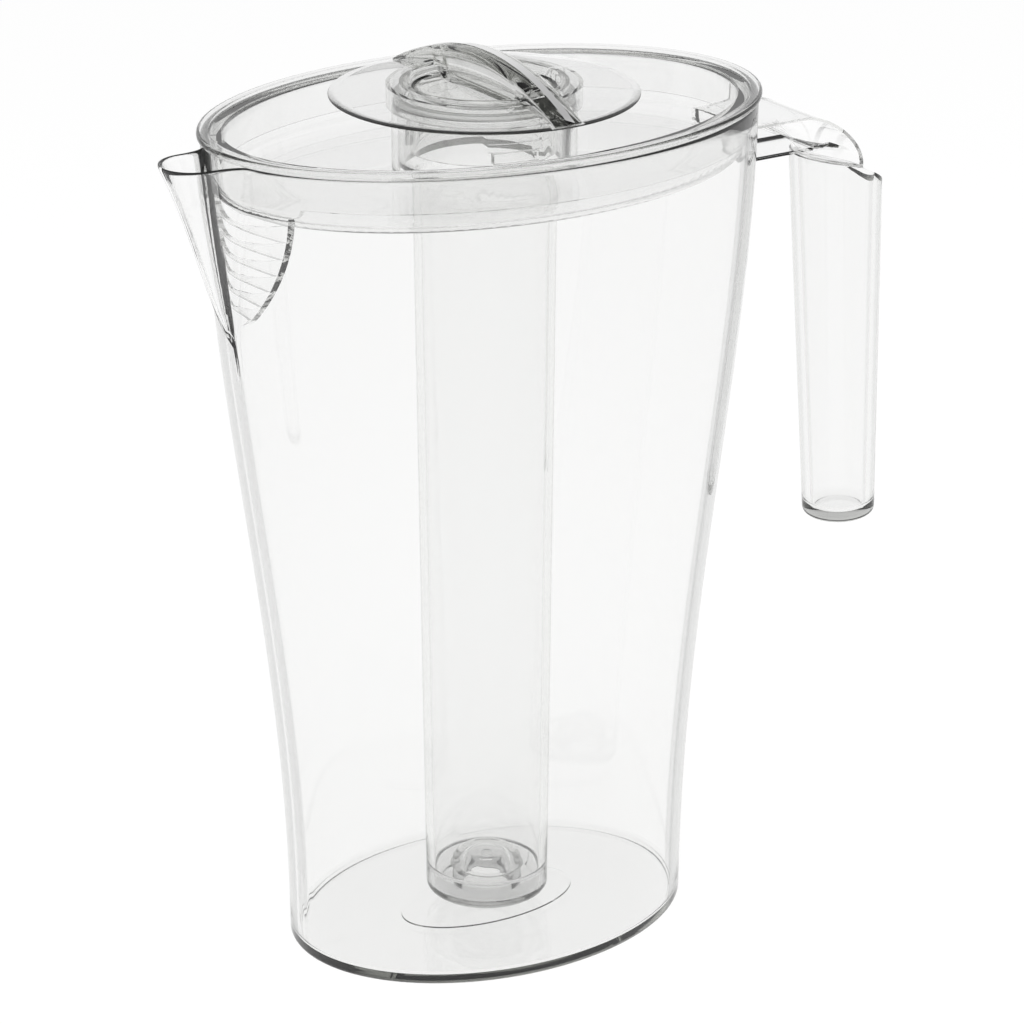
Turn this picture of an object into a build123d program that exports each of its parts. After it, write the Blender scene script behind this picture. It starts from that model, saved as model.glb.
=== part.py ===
from build123d import *
from math import cos, radians, sin, sqrt
import os

# A clear water jug with an ice core, in millimetres. Z = 0 is the table, the core hangs on the
# Z axis, the spout points to -X and the handle to +X.

# Vessel: an oval whose sides stand up from the base and flare towards the rim.
VESSEL_HEIGHT = 255.6
BASE_LENGTH = 129.6
BASE_WIDTH = 98.0
RIM_LENGTH = 174.4
RIM_WIDTH = 122.6
FLARE_LATENESS = 1.1
VESSEL_WALL = 2.6
FLOOR_THICKNESS = 3.2
BASE_EDGE_RADIUS = 2.4
INNER_CORNER_RADIUS = 4.0
VESSEL_SECTIONS = 10
FLOOR_PAD_LENGTH = 59.0
FLOOR_PAD_WIDTH = 32.0
FLOOR_PAD_HEIGHT = 0.6

# Spout: a V-shaped channel that grows out of the wall and flares at the rim.
SPOUT_HEIGHT = 59.0
SPOUT_SUNK_FOOT = 1.2
SPOUT_BELLY = 13.4
SPOUT_FLARE = 6.0
SPOUT_BELLY_POWER = 0.6
SPOUT_FLARE_POWER = 3.5
SPOUT_NOSE_RADIUS = 10.3
SPOUT_NOSE_INSET_SHARE = 0.7
SPOUT_ROOT_HALF_WIDTH = 15.0
SPOUT_ROOT_INSET_SHARE = 0.5
SPOUT_ROOT_SINK = 0.3
SPOUT_ROOT_BEND_SHARE = 0.35
SPOUT_LEAST_NOSE = 0.4
SPOUT_LEAST_ROOT = 0.8
SPOUT_LEAST_RUN = 0.2
SPOUT_SECTIONS = 8
SPOUT_FIRST_SHARE = 0.03

# Lid: a flange on the rim, a skirt inside it and a dished deck with a collar for the core.
LID_CLEARANCE = 0.4
FLANGE_OVERHANG = 1.0
FLANGE_THICKNESS = 2.3
FLANGE_EDGE_RADIUS = 1.0
BEAD_WIDTH = 3.4
BEAD_HEIGHT = 0.9
SKIRT_DEPTH = 10.1
LID_WALL = 1.8
SKIRT_STEP = 1.2
SKIRT_SECTIONS = 6
DECK_DEPTH = 15.6
DECK_THICKNESS = 1.6
DISH_CORNER_RADIUS = 4.2
COLLAR_WALL = 1.8
COLLAR_RISE = 18.0

# Strainer: the tongue of the skirt that hangs behind the spout.
STRAINER_HALF_WIDTH = 22.6
STRAINER_DROP = 49.0
STRAINER_TIP_RADIUS = 11.0
STRAINER_CORNER_RADIUS = 3.0
SLOT_COUNT = 7
SLOT_PITCH = 5.15
SLOT_TOP = 14.0
SLOT_HEIGHT = 4.3
SLOT_TIP_DROP = 1.2
SLOT_MARGIN = 1.1

# Core: a tapered tube with a neck that hangs by its flange on the collar.
CORE_TOP_RADIUS = 21.05
CORE_BASE_RADIUS = 18.7
CORE_WALL = 2.3
CORE_BASE_GAP = 3.4
CORE_BASE_THICKNESS = 8.0
CORE_CORNER_RADIUS = 2.5
CORE_INNER_CORNER_RADIUS = 1.5
NECK_STEP = 3.95
NECK_WALL = 1.7
NECK_CLEARANCE = 0.2
SHOULDER_HEIGHT = 3.5
SHOULDER_LOWER_RADIUS = 1.5
SHOULDER_UPPER_RADIUS = 1.2
SHOULDER_INNER_UPPER_RADIUS = 1.0
SHOULDER_INNER_LOWER_RADIUS = 2.5
CORE_FLANGE_OVERHANG = 1.6
CORE_FLANGE_THICKNESS = 2.0
CORE_FLANGE_EDGE_RADIUS = 0.5
NECK_LIP_RADIUS = 0.4
SEAT_GAP = 0.1
WELL_RADIUS = 7.8
WELL_WALL = 3.1
WELL_DEPTH = 10.3
WELL_ROOF = 2.2
WELL_CORNER_RADIUS = 2.2
WELL_ROOF_CORNER_RADIUS = 3.6
WELL_EDGE_RADIUS = 0.8
WELL_TAPER = 0.6
NUB_RADIUS = 1.6
NUB_LENGTH = 1.4

# Bayonet between the core's neck and its cap.
LUG_COUNT = 3
LUG_ANGLE = 40.0
TAB_WIDTH = 1.3
TAB_HEIGHT = 2.4
LUG_HEIGHT = 3.0
BAYONET_GAP = 0.3
TAB_DEPTH = 7.2

# Cap: a low dome with a ridge to hold and a finger trough on each side of it.
CAP_RADIUS = 45.2
CAP_THICKNESS = 2.0
CAP_RIM_RISE = 4.0
DOME_RISE = 4.9
RIDGE_TURN = -80.0
RIDGE_HEIGHT = 7.4
RIDGE_HALF_THICKNESS = 1.5
RIDGE_SIDE_SLOPE = 0.37
FLARE_HALF_WIDTH = 20.0
TROUGH_RADIUS = 8.7
TROUGH_HALF_LENGTH = 13.0
TROUGH_HEIGHT = 3.8
PLUG_WALL = 1.9
PLUG_GAP = 0.3
PLUG_BELOW_LUGS = 1.0
CAP_SKIRT_WALL = 1.6
CAP_SKIRT_GAP = 0.3
CAP_SKIRT_DROP = 1.7

# Seal: a flat ring between the core's flange and the cap's seat.
SEAL_THICKNESS = 1.5
SEAL_WIDTH = 2.6
SEAL_INSET = 0.4

# Handle: a channel-shaped arm, turned down at its end into a round tapered grip.
ARM_TOP = 241.3
ARM_HEIGHT = 10.6
ARM_INSIDE_GRIP = 0.6
ARM_REACH = 128.0
ARM_CORNER_RADIUS = 17.0
ARM_PLATE = 2.4
ARM_SIDE = 2.2
ARM_BEAD_RADIUS = 1.5
ARM_BEAD_PROUD = 0.4
ARM_BEND_RADIUS = 6.0
ARM_END_LENGTH = 20.0
GRIP_TOP_RADIUS = 14.6
GRIP_BOTTOM_RADIUS = 11.5
GRIP_WALL = 2.7
GRIP_FLOOR = 3.0
GRIP_EDGE_RADIUS = 2.4
GRIP_BOTTOM_Z = 103.6
GRIP_BOTTOM_X = 133.6
GRIP_RIM_INNER_Z = 224.6
GRIP_RIM_MIDDLE_Z = 222.0
GRIP_RIM_OUTER_Z = 212.2
GRIP_SPARE_LENGTH = 2.0
GRIP_GAP = 0.1

# Worked-out sizes and levels
LID_SEAT = VESSEL_HEIGHT + SEAT_GAP
STRAINER_BOTTOM = VESSEL_HEIGHT - STRAINER_DROP
STRAINER_LENGTH = STRAINER_DROP - SKIRT_DEPTH
STRAINER_TIP_RISE = STRAINER_LENGTH - STRAINER_TIP_RADIUS
STRAINER_SIDE_RADIUS = ((STRAINER_HALF_WIDTH**2 + STRAINER_TIP_RISE**2 - STRAINER_TIP_RADIUS**2)
                        / (2 * (STRAINER_HALF_WIDTH - STRAINER_TIP_RADIUS)))
STRAINER_TURN_DROP = (STRAINER_TIP_RISE * STRAINER_SIDE_RADIUS
                      / (STRAINER_SIDE_RADIUS - STRAINER_TIP_RADIUS))
SKIRT_INSET = VESSEL_WALL + LID_CLEARANCE
LID_TOP = LID_SEAT + FLANGE_THICKNESS
SKIRT_BOTTOM = VESSEL_HEIGHT - SKIRT_DEPTH
DECK_TOP = VESSEL_HEIGHT - DECK_DEPTH
DECK_UNDERSIDE = DECK_TOP - DECK_THICKNESS
COLLAR_TOP = DECK_TOP + COLLAR_RISE
NECK_RADIUS = CORE_TOP_RADIUS + NECK_STEP
COLLAR_BORE = NECK_RADIUS + NECK_CLEARANCE
CORE_FLANGE_BOTTOM = COLLAR_TOP + SEAT_GAP
CORE_FLANGE_TOP = CORE_FLANGE_BOTTOM + CORE_FLANGE_THICKNESS
CORE_FLANGE_RADIUS = NECK_RADIUS + CORE_FLANGE_OVERHANG
NECK_BORE = NECK_RADIUS - NECK_WALL
CORE_BOTTOM = FLOOR_THICKNESS + FLOOR_PAD_HEIGHT + CORE_BASE_GAP
SEAL_BOTTOM = CORE_FLANGE_TOP + SEAT_GAP
SEAL_TOP = SEAL_BOTTOM + SEAL_THICKNESS
CAP_RIM_Z = COLLAR_TOP + CAP_RIM_RISE
DOME_TOP = CAP_RIM_Z + DOME_RISE
RIDGE_TOP = DOME_TOP + RIDGE_HEIGHT
DOME_RADIUS = (CAP_RADIUS**2 + DOME_RISE**2) / (2 * DOME_RISE)
RIDGE_RISE = RIDGE_HEIGHT + DOME_RISE
RIDGE_RADIUS = (CAP_RADIUS**2 + RIDGE_RISE**2) / (2 * RIDGE_RISE)
PLUG_RADIUS = NECK_BORE - TAB_WIDTH - PLUG_GAP
TAB_TOP = CORE_FLANGE_TOP - TAB_DEPTH
TAB_BOTTOM = TAB_TOP - TAB_HEIGHT
LUG_TOP = TAB_BOTTOM - BAYONET_GAP
LUG_BOTTOM = LUG_TOP - LUG_HEIGHT
PLUG_BOTTOM = LUG_BOTTOM - PLUG_BELOW_LUGS
LUG_RADIUS = NECK_BORE - PLUG_GAP
CAP_SKIRT_RADIUS = CORE_FLANGE_RADIUS + CAP_SKIRT_GAP
CAP_SKIRT_BOTTOM = CORE_FLANGE_TOP - CAP_SKIRT_DROP
ARM_HALF_WIDTH = GRIP_TOP_RADIUS - ARM_INSIDE_GRIP
TROUGH_OFFSET = TROUGH_RADIUS + RIDGE_HALF_THICKNESS
TROUGH_Z = DOME_TOP + TROUGH_HEIGHT

os.makedirs("parts", exist_ok=True)


def vessel_half_axes(z, inset=0.0):
    """Half length and half width of the vessel's oval at a height, less an inset."""
    share = (min(z, VESSEL_HEIGHT) / VESSEL_HEIGHT) ** FLARE_LATENESS
    flare = 3 * share**2 - 2 * share**3
    half_length = (BASE_LENGTH + (RIM_LENGTH - BASE_LENGTH) * flare) / 2
    half_width = (BASE_WIDTH + (RIM_WIDTH - BASE_WIDTH) * flare) / 2
    return half_length - inset, half_width - inset


def heights(low, high, count):
    """Evenly spaced section heights, both ends included."""
    return [low + (high - low) * i / (count - 1) for i in range(count)]


def spout_reach(share):
    """How far the spout's keel stands out from the oval at a share of its height."""
    return (SPOUT_BELLY * share**SPOUT_BELLY_POWER + SPOUT_FLARE * share**SPOUT_FLARE_POWER
            - SPOUT_SUNK_FOOT)


def spout_outline(z, inset):
    """The spout's plan at a height: a round nose whose sides run out into the oval."""
    share = (z - VESSEL_HEIGHT + SPOUT_HEIGHT) / SPOUT_HEIGHT
    half_length, half_width = vessel_half_axes(z, inset)
    nose = max(SPOUT_NOSE_RADIUS * share - SPOUT_NOSE_INSET_SHARE * inset, SPOUT_LEAST_NOSE)
    root_y = max(SPOUT_ROOT_HALF_WIDTH * share - SPOUT_ROOT_INSET_SHARE * inset, SPOUT_LEAST_ROOT)
    root_x = -half_length * sqrt(1 - (root_y / half_width) ** 2) + SPOUT_ROOT_SINK
    tip_x = -(half_length + spout_reach(share))
    slope = half_length * root_y / (half_width**2 * sqrt(1 - (root_y / half_width) ** 2))
    run = max((root_x - tip_x - nose) / 2, SPOUT_LEAST_RUN)
    side_x = min(tip_x + nose, root_x - SPOUT_LEAST_NOSE)
    bend = SPOUT_ROOT_BEND_SHARE * root_y
    with BuildLine() as outline:
        ThreePointArc((side_x, -nose), (tip_x, 0), (side_x, nose))
        Bezier((side_x, nose), (side_x + run, nose), (root_x - slope * bend, root_y - bend),
               (root_x, root_y))
        Line((root_x, root_y), (root_x, -root_y))
        Bezier((root_x, -root_y), (root_x - slope * bend, -root_y + bend), (side_x + run, -nose),
               (side_x, -nose))
    return outline


def strainer_half_width(drop):
    """Half width of the strainer's rounded tongue at a depth below the skirt's edge."""
    if drop < STRAINER_TURN_DROP:
        return STRAINER_HALF_WIDTH - STRAINER_SIDE_RADIUS + sqrt(STRAINER_SIDE_RADIUS**2 - drop**2)
    return sqrt(STRAINER_TIP_RADIUS**2 - (drop - STRAINER_LENGTH + STRAINER_TIP_RADIUS) ** 2)


# The vessel's outside as a solid, which also shapes the end of the handle's arm
with BuildPart() as vessel_outside:
    for z in heights(0, VESSEL_HEIGHT, VESSEL_SECTIONS):
        with BuildSketch(Plane.XY.offset(z)):
            Ellipse(*vessel_half_axes(z))
    loft()
    fillet(vessel_outside.edges().group_by(Axis.Z)[0], BASE_EDGE_RADIUS)

# The spout's outside
with BuildPart() as spout_outside:
    for z in heights(VESSEL_HEIGHT - (1 - SPOUT_FIRST_SHARE) * SPOUT_HEIGHT, VESSEL_HEIGHT, SPOUT_SECTIONS):
        with BuildSketch(Plane.XY.offset(z)):
            make_face(spout_outline(z, 0).edges())
    loft()

# The space inside the vessel and inside the spout
with BuildPart() as vessel_cavity:
    for z in heights(FLOOR_THICKNESS, VESSEL_HEIGHT + 1, VESSEL_SECTIONS):
        with BuildSketch(Plane.XY.offset(z)):
            Ellipse(*vessel_half_axes(z, VESSEL_WALL))
    loft()
    fillet(vessel_cavity.edges().group_by(Axis.Z)[0], INNER_CORNER_RADIUS)

with BuildPart() as spout_cavity:
    for z in heights(VESSEL_HEIGHT - (1 - SPOUT_FIRST_SHARE) * SPOUT_HEIGHT, VESSEL_HEIGHT + 1, SPOUT_SECTIONS):
        with BuildSketch(Plane.XY.offset(z)):
            make_face(spout_outline(z, VESSEL_WALL).edges())
    loft()

# Vessel
with BuildPart() as vessel:
    add(vessel_outside.part)
    add(spout_outside.part)
    add(vessel_cavity.part, mode=Mode.SUBTRACT)
    add(spout_cavity.part, mode=Mode.SUBTRACT)
    with BuildSketch(Plane.XY.offset(FLOOR_THICKNESS)):
        Ellipse(FLOOR_PAD_LENGTH / 2, FLOOR_PAD_WIDTH / 2)
    extrude(amount=FLOOR_PAD_HEIGHT)

# The skirt's shell follows the inside of the vessel down to the strainer's tip
with BuildPart() as skirt:
    for z in heights(STRAINER_BOTTOM - 1, LID_SEAT + FLANGE_THICKNESS / 2, SKIRT_SECTIONS):
        with BuildSketch(Plane.XY.offset(z)):
            Ellipse(*vessel_half_axes(z, SKIRT_INSET))
    loft()
    for z in heights(STRAINER_BOTTOM - 2, LID_TOP, SKIRT_SECTIONS):
        with BuildSketch(Plane.XY.offset(z)):
            Ellipse(*vessel_half_axes(z, SKIRT_INSET + LID_WALL))
    loft(mode=Mode.SUBTRACT)
    with BuildSketch(Plane.XY.offset(STRAINER_BOTTOM - STRAINER_TIP_RADIUS)):
        with Locations((RIM_LENGTH / 2, 0)):
            Rectangle(RIM_LENGTH, 2 * RIM_WIDTH)
    extrude(amount=STRAINER_LENGTH + STRAINER_TIP_RADIUS, mode=Mode.SUBTRACT)
    with BuildSketch(Plane.YZ.offset(-RIM_LENGTH)):
        with BuildLine():
            corner = (STRAINER_HALF_WIDTH + STRAINER_CORNER_RADIUS, SKIRT_BOTTOM)
            start, middle, turn = [
                (strainer_half_width(drop), SKIRT_BOTTOM - drop)
                for drop in (STRAINER_CORNER_RADIUS, STRAINER_TURN_DROP / 2, STRAINER_TURN_DROP)
            ]
            RadiusArc(corner, start, STRAINER_CORNER_RADIUS)
            ThreePointArc(start, middle, turn)
            ThreePointArc(turn, (0, STRAINER_BOTTOM), (-turn[0], turn[1]))
            ThreePointArc((-turn[0], turn[1]), (-middle[0], middle[1]), (-start[0], start[1]))
            RadiusArc((-start[0], start[1]), (-corner[0], corner[1]), STRAINER_CORNER_RADIUS)
            Polyline(corner, (RIM_WIDTH, SKIRT_BOTTOM), (RIM_WIDTH, STRAINER_BOTTOM - STRAINER_TIP_RADIUS),
                     (-RIM_WIDTH, STRAINER_BOTTOM - STRAINER_TIP_RADIUS), (-RIM_WIDTH, SKIRT_BOTTOM),
                     (-corner[0], SKIRT_BOTTOM))
        make_face()
    extrude(amount=RIM_LENGTH, mode=Mode.SUBTRACT)
    with BuildSketch(Plane.YZ.offset(-RIM_LENGTH)):
        for i in range(SLOT_COUNT):
            top_z = VESSEL_HEIGHT - SLOT_TOP - i * SLOT_PITCH
            tip_z = top_z - SLOT_TIP_DROP
            tip_y = strainer_half_width(SKIRT_BOTTOM - tip_z) - SLOT_MARGIN
            with BuildLine():
                ThreePointArc((-tip_y, tip_z), (0, top_z), (tip_y, tip_z))
                ThreePointArc((-tip_y, tip_z), (0, top_z - SLOT_HEIGHT), (tip_y, tip_z))
            make_face()
    extrude(amount=RIM_LENGTH, mode=Mode.SUBTRACT)

# Lid
skirt_axes = vessel_half_axes(SKIRT_BOTTOM, SKIRT_INSET)
flange_axes = vessel_half_axes(VESSEL_HEIGHT, -FLANGE_OVERHANG)


def shrunk(axes, inset):
    """An oval's half length and half width, both less an inset."""
    return axes[0] - inset, axes[1] - inset


# The dish below the flange, and the space inside it
with BuildPart() as dish:
    with BuildSketch(Plane.XY.offset(DECK_UNDERSIDE)):
        Ellipse(*shrunk(skirt_axes, SKIRT_STEP))
    extrude(amount=LID_SEAT - DECK_UNDERSIDE)
    fillet(dish.edges().group_by(Axis.Z)[0], DISH_CORNER_RADIUS + DECK_THICKNESS)

with BuildPart() as dish_space:
    with BuildSketch(Plane.XY.offset(DECK_TOP)):
        Ellipse(*shrunk(skirt_axes, SKIRT_STEP + LID_WALL))
    extrude(amount=LID_TOP - DECK_TOP)
    fillet(dish_space.edges().group_by(Axis.Z)[0], DISH_CORNER_RADIUS)

with BuildPart() as lid:
    with BuildSketch(Plane.XY.offset(LID_SEAT)):
        Ellipse(*flange_axes)
    extrude(amount=FLANGE_THICKNESS)
    fillet(lid.edges(), FLANGE_EDGE_RADIUS)
    with BuildSketch(Plane.XY.offset(LID_TOP)):
        Ellipse(*shrunk(flange_axes, BEAD_WIDTH))
    extrude(amount=-BEAD_HEIGHT, mode=Mode.SUBTRACT)
    add(skirt.part)
    add(dish.part)
    add(dish_space.part, mode=Mode.SUBTRACT)
    with BuildSketch(Plane.XY.offset(DECK_UNDERSIDE)):
        Circle(COLLAR_BORE + COLLAR_WALL)
    extrude(amount=COLLAR_TOP - DECK_UNDERSIDE)
    with BuildSketch(Plane.XY.offset(DECK_UNDERSIDE)):
        Circle(COLLAR_BORE)
    extrude(amount=COLLAR_TOP - DECK_UNDERSIDE, mode=Mode.SUBTRACT)

# Core tube
well_top = CORE_BOTTOM + WELL_DEPTH
inner_floor = CORE_BOTTOM + CORE_BASE_THICKNESS
shoulder_top = DECK_UNDERSIDE + SHOULDER_HEIGHT

with BuildPart() as core_tube:
    with BuildSketch(Plane.XZ):
        with BuildLine():
            path = FilletPolyline(
                (0, well_top - NUB_LENGTH),
                (NUB_RADIUS, well_top - NUB_LENGTH),
                (NUB_RADIUS, well_top),
                (WELL_RADIUS - WELL_TAPER, well_top),
                (WELL_RADIUS, CORE_BOTTOM),
                (CORE_BASE_RADIUS, CORE_BOTTOM),
                (CORE_TOP_RADIUS, DECK_UNDERSIDE),
                (NECK_RADIUS, shoulder_top),
                (NECK_RADIUS, CORE_FLANGE_BOTTOM),
                (CORE_FLANGE_RADIUS, CORE_FLANGE_BOTTOM),
                (CORE_FLANGE_RADIUS, CORE_FLANGE_TOP),
                (NECK_BORE, CORE_FLANGE_TOP),
                (NECK_BORE, shoulder_top + CORE_WALL / 2),
                (CORE_TOP_RADIUS - CORE_WALL, DECK_UNDERSIDE + CORE_WALL / 2),
                (CORE_BASE_RADIUS - CORE_WALL, inner_floor),
                (WELL_RADIUS + WELL_WALL, inner_floor),
                (WELL_RADIUS + WELL_WALL - WELL_TAPER, well_top + WELL_ROOF),
                (0, well_top + WELL_ROOF),
                radius=[
                    0,
                    0,
                    WELL_CORNER_RADIUS,
                    WELL_EDGE_RADIUS,
                    CORE_CORNER_RADIUS,
                    SHOULDER_LOWER_RADIUS,
                    SHOULDER_UPPER_RADIUS,
                    0,
                    CORE_FLANGE_EDGE_RADIUS,
                    CORE_FLANGE_EDGE_RADIUS,
                    NECK_LIP_RADIUS,
                    SHOULDER_INNER_UPPER_RADIUS,
                    SHOULDER_INNER_LOWER_RADIUS,
                    CORE_INNER_CORNER_RADIUS,
                    WELL_EDGE_RADIUS,
                    WELL_ROOF_CORNER_RADIUS,
                ],
            )
            Line(path @ 1, path @ 0)
        make_face()
    revolve(axis=Axis.Z)
    for i in range(LUG_COUNT):
        turn = radians(i * 360 / LUG_COUNT)
        with BuildSketch(Plane((0, 0, 0), x_dir=(cos(turn), sin(turn), 0), z_dir=(sin(turn), -cos(turn), 0))):
            with Locations(((NECK_BORE - TAB_WIDTH + NECK_RADIUS) / 2, (TAB_BOTTOM + TAB_TOP) / 2)):
                Rectangle(TAB_WIDTH + NECK_WALL, TAB_HEIGHT)
        revolve(axis=Axis.Z, revolution_arc=LUG_ANGLE)

# Core cap
turn = radians(RIDGE_TURN)
ridge_along = Vector(cos(turn), sin(turn), 0)
ridge_across = Vector(sin(turn), -cos(turn), 0)


def ridge_plane(offset):
    """An upright plane along the ridge, a distance to one side of its middle."""
    return Plane(ridge_across * offset, x_dir=ridge_along, z_dir=ridge_across)


def arch_face():
    """The ridge's side view: an arch that meets the dome at its rim."""
    with BuildSketch(mode=Mode.PRIVATE) as arch:
        with BuildLine():
            ThreePointArc((-CAP_RADIUS, CAP_RIM_Z), (0, RIDGE_TOP), (CAP_RADIUS, CAP_RIM_Z))
            Polyline((CAP_RADIUS, CAP_RIM_Z), (CAP_RADIUS, CAP_RIM_Z - CAP_THICKNESS),
                     (-CAP_RADIUS, CAP_RIM_Z - CAP_THICKNESS), (-CAP_RADIUS, CAP_RIM_Z))
        make_face()
    return arch.sketch


def dome_middle(depth):
    """The middle of the ball whose top is the dome, at a depth below its surface."""
    return Plane((0, 0, DOME_TOP - DOME_RADIUS - depth), x_dir=(0, 0, -1), z_dir=(0, 1, 0))


with BuildPart() as troughs:
    for side in (1, -1):
        middle = ridge_across * side * TROUGH_OFFSET + Vector(0, 0, TROUGH_Z)
        with Locations(Plane(middle, x_dir=ridge_across, z_dir=ridge_along)):
            Cylinder(TROUGH_RADIUS, 2 * TROUGH_HALF_LENGTH)
            with Locations((0, 0, TROUGH_HALF_LENGTH), (0, 0, -TROUGH_HALF_LENGTH)):
                Sphere(TROUGH_RADIUS)

with BuildPart() as trough_shells:
    for side in (1, -1):
        middle = ridge_across * side * TROUGH_OFFSET + Vector(0, 0, TROUGH_Z)
        with Locations(Plane(middle, x_dir=ridge_across, z_dir=ridge_along)):
            Cylinder(TROUGH_RADIUS + CAP_THICKNESS, 2 * TROUGH_HALF_LENGTH)
            with Locations((0, 0, TROUGH_HALF_LENGTH), (0, 0, -TROUGH_HALF_LENGTH)):
                Sphere(TROUGH_RADIUS + CAP_THICKNESS)

# The hollow under the dome, which leaves a wall under each trough
with BuildPart() as cap_hollow:
    with Locations(dome_middle(CAP_THICKNESS)):
        Sphere(DOME_RADIUS)
    with BuildSketch(Plane.XY.offset(DECK_TOP)):
        Circle(CAP_RADIUS + CAP_THICKNESS)
    extrude(amount=RIDGE_TOP - DECK_TOP, mode=Mode.INTERSECT)
    add(trough_shells.part, mode=Mode.SUBTRACT)

with BuildPart() as ridge:
    for side in (1, -1):
        with BuildSketch(ridge_plane(0)):
            add(arch_face())
        extrude(amount=side * RIDGE_HALF_THICKNESS)
        with BuildSketch(ridge_plane(side * RIDGE_HALF_THICKNESS)):
            add(arch_face())
        extrude(amount=FLARE_HALF_WIDTH, dir=ridge_across * side - Vector(0, 0, RIDGE_SIDE_SLOPE))

with BuildPart() as plug:
    with BuildSketch(Plane.XZ):
        with BuildLine():
            Polyline((PLUG_RADIUS - PLUG_WALL, PLUG_BOTTOM), (PLUG_RADIUS, PLUG_BOTTOM),
                     (PLUG_RADIUS, SEAL_TOP), (CAP_SKIRT_RADIUS, SEAL_TOP),
                     (CAP_SKIRT_RADIUS, CAP_SKIRT_BOTTOM),
                     (CAP_SKIRT_RADIUS + CAP_SKIRT_WALL, CAP_SKIRT_BOTTOM),
                     (CAP_SKIRT_RADIUS + CAP_SKIRT_WALL, DOME_TOP), (PLUG_RADIUS - PLUG_WALL, DOME_TOP),
                     close=True)
        make_face()
    revolve(axis=Axis.Z)
    for i in range(LUG_COUNT):
        turn = radians(i * 360 / LUG_COUNT)
        with BuildSketch(Plane((0, 0, 0), x_dir=(cos(turn), sin(turn), 0), z_dir=(sin(turn), -cos(turn), 0))):
            with Locations(((PLUG_RADIUS - 1 + LUG_RADIUS) / 2, (LUG_BOTTOM + LUG_TOP) / 2)):
                Rectangle(LUG_RADIUS - PLUG_RADIUS + 1, LUG_HEIGHT)
        revolve(axis=Axis.Z, revolution_arc=LUG_ANGLE)
    with Locations(dome_middle(CAP_THICKNESS / 2)):
        Sphere(DOME_RADIUS, mode=Mode.INTERSECT)

with BuildPart() as core_cap:
    with Locations(dome_middle(0)):
        Sphere(DOME_RADIUS)
    with BuildSketch(Plane.XY.offset(SEAL_TOP - CAP_THICKNESS)):
        Circle(CAP_RADIUS)
    extrude(amount=RIDGE_TOP - SEAL_TOP, mode=Mode.INTERSECT)
    add(ridge.part)
    add(cap_hollow.part, mode=Mode.SUBTRACT)
    with BuildSketch(Plane.XY.offset(CAP_SKIRT_BOTTOM)):
        Circle(CAP_RADIUS)
    extrude(amount=RIDGE_TOP - CAP_SKIRT_BOTTOM, mode=Mode.INTERSECT)
    add(plug.part)
    add(troughs.part, mode=Mode.SUBTRACT)

# Seal
with BuildPart() as cap_seal:
    with BuildSketch(Plane.XY.offset(SEAL_BOTTOM)):
        Circle(CORE_FLANGE_RADIUS - SEAL_INSET)
        Circle(CORE_FLANGE_RADIUS - SEAL_INSET - SEAL_WIDTH, mode=Mode.SUBTRACT)
    extrude(amount=SEAL_THICKNESS - SEAT_GAP)

# Grip
grip_foot = Vector(GRIP_BOTTOM_X, 0, GRIP_BOTTOM_Z)
grip_axis = Vector(ARM_REACH, 0, GRIP_RIM_INNER_Z) - grip_foot
grip_length = grip_axis.length
grip_up = grip_axis.normalized()
grip_plane = Plane(grip_foot, x_dir=(grip_up.Z, 0, -grip_up.X), z_dir=(0, -1, 0))


def rim_cutter(gap):
    """Side view of all that lies above the grip's curved top rim, raised by a gap."""
    with BuildSketch(Plane.XZ, mode=Mode.PRIVATE) as cutter:
        with BuildLine():
            start = (ARM_REACH - GRIP_TOP_RADIUS - 6, GRIP_RIM_INNER_Z + gap)
            end = (ARM_REACH + GRIP_TOP_RADIUS + 1, GRIP_RIM_OUTER_Z + gap)
            ThreePointArc(start, (ARM_REACH, GRIP_RIM_MIDDLE_Z + gap), end)
            Polyline(end, (end[0], ARM_TOP + 10), (start[0], ARM_TOP + 10), start)
        make_face()
    return cutter.sketch


with BuildPart() as grip_tube:
    with BuildSketch(grip_plane):
        with BuildLine():
            path = FilletPolyline(
                (0, 0),
                (GRIP_BOTTOM_RADIUS, 0),
                (GRIP_TOP_RADIUS, grip_length + GRIP_SPARE_LENGTH),
                (GRIP_TOP_RADIUS - GRIP_WALL, grip_length + GRIP_SPARE_LENGTH),
                (GRIP_BOTTOM_RADIUS - GRIP_WALL, GRIP_FLOOR),
                (0, GRIP_FLOOR),
                radius=[GRIP_EDGE_RADIUS, 0, 0, GRIP_EDGE_RADIUS],
            )
            Line(path @ 1, path @ 0)
        make_face()
    revolve(axis=Axis(grip_foot, grip_up))
    with BuildSketch(Plane.XZ):
        add(rim_cutter(0))
    extrude(amount=2 * ARM_HALF_WIDTH, both=True, mode=Mode.SUBTRACT)

# Arm
arm_underside = ARM_TOP - ARM_HEIGHT
bend_level = (arm_underside - GRIP_BOTTOM_Z) / grip_up.Z
bend_start = bend_level - ARM_BEND_RADIUS
arm_end_level = grip_length - ARM_END_LENGTH
arm_end_low = GRIP_RIM_OUTER_Z - ARM_BEND_RADIUS
trumpet_radius = ARM_HALF_WIDTH + ARM_BEND_RADIUS


def arm_side_view(inset):
    """Side view of the arm and its turned-down end, with a large outer corner."""
    with BuildSketch(Plane.XZ, mode=Mode.PRIVATE) as view:
        with BuildLine():
            path = FilletPolyline((0, ARM_TOP - inset), (ARM_REACH - inset, ARM_TOP - inset),
                                  (ARM_REACH - inset, arm_end_low), radius=ARM_CORNER_RADIUS - inset)
            Polyline(path @ 1, (0, arm_end_low), path @ 0)
        make_face()
    return view.sketch


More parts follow.
